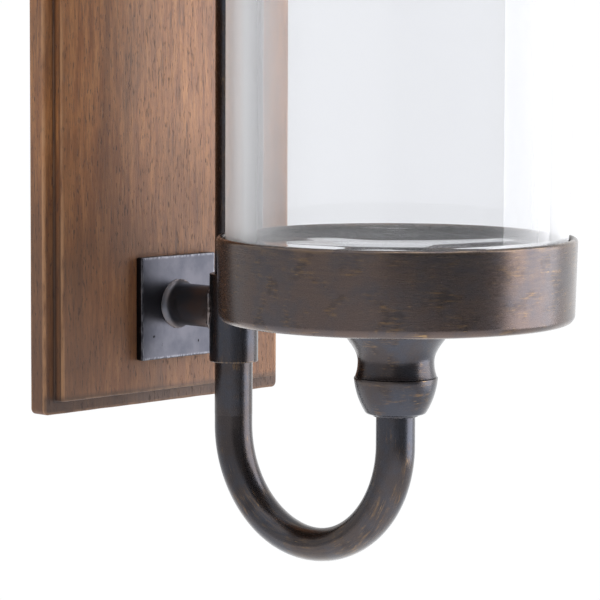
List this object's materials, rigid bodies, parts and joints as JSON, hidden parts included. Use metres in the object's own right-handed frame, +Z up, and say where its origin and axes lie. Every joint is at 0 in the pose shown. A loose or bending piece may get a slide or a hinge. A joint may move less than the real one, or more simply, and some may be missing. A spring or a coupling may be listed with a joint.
{
  "type": "wall sconce candle holder",
  "caption": "Wall sconce for a pillar candle: a tall board with welded brackets carries a swivelling hooked tube arm, a turned neck, a round tray and a lift-out glass cylinder.",
  "frame": {"origin": "centre of the board's flat back face, which lies on the wall", "axes": "+Y into the wall, so the sconce reaches out towards -Y; +Z up along the board; +X to the right as seen from the front"},
  "size_m": [0.127, 0.1875, 0.5118],
  "materials": {
    "stained_wood": "walnut-brown stain with a thin satin coat, fine upright grain, edges rubbed through",
    "dark_bronze": "dark bronze finish on steel, fine brushed scratches and golden rubbed specks, satin",
    "blued_steel": "blue-grey steel with a smooth satin face",
    "zinc_steel": "bright zinc plate",
    "brass": "plain turned brass",
    "black_felt": "pressed wool felt",
    "clear_glass": "clear soda-lime glass, thick bottom, fire-polished rim"
  },
  "bodies": {
    "board": {"backboard": "stained_wood", "lower_wall_plate": "blued_steel", "lower_stub": "dark_bronze", "lower_collar": "dark_bronze", "lower_washer": "zinc_steel", "lower_bolt": "zinc_steel", "upper_wall_plate": "blued_steel", "upper_stub": "dark_bronze", "upper_collar": "dark_bronze", "upper_washer": "zinc_steel", "upper_bolt": "zinc_steel", "upper_hanger": "zinc_steel", "upper_hanger_screw_1": "zinc_steel", "upper_hanger_screw_2": "zinc_steel", "lower_hanger": "zinc_steel", "lower_hanger_screw_1": "zinc_steel", "lower_hanger_screw_2": "zinc_steel"},
    "arm": {"rod": "dark_bronze", "rod_plug": "zinc_steel", "swivel_washer": "brass", "finial": "dark_bronze", "finial_set_screw": "zinc_steel", "hook": "dark_bronze", "neck": "dark_bronze", "tray": "dark_bronze", "tray_spacer": "zinc_steel", "tray_floor": "dark_bronze", "tray_screw": "zinc_steel", "felt_ring": "black_felt"},
    "glass": {"glass": "clear_glass"}
  },
  "joints": [
    {"name": "arm_swivel", "type": "hinge", "parent": "board", "child": "arm", "pos_m": [0, -0.044, 0], "axis": [0, 0, 1], "range_deg": [-65, 65]},
    {"name": "glass_lift", "type": "slide", "parent": "arm", "child": "glass", "axis": [0, 0, 1], "range_m": [0, 0.04]}
  ]
}
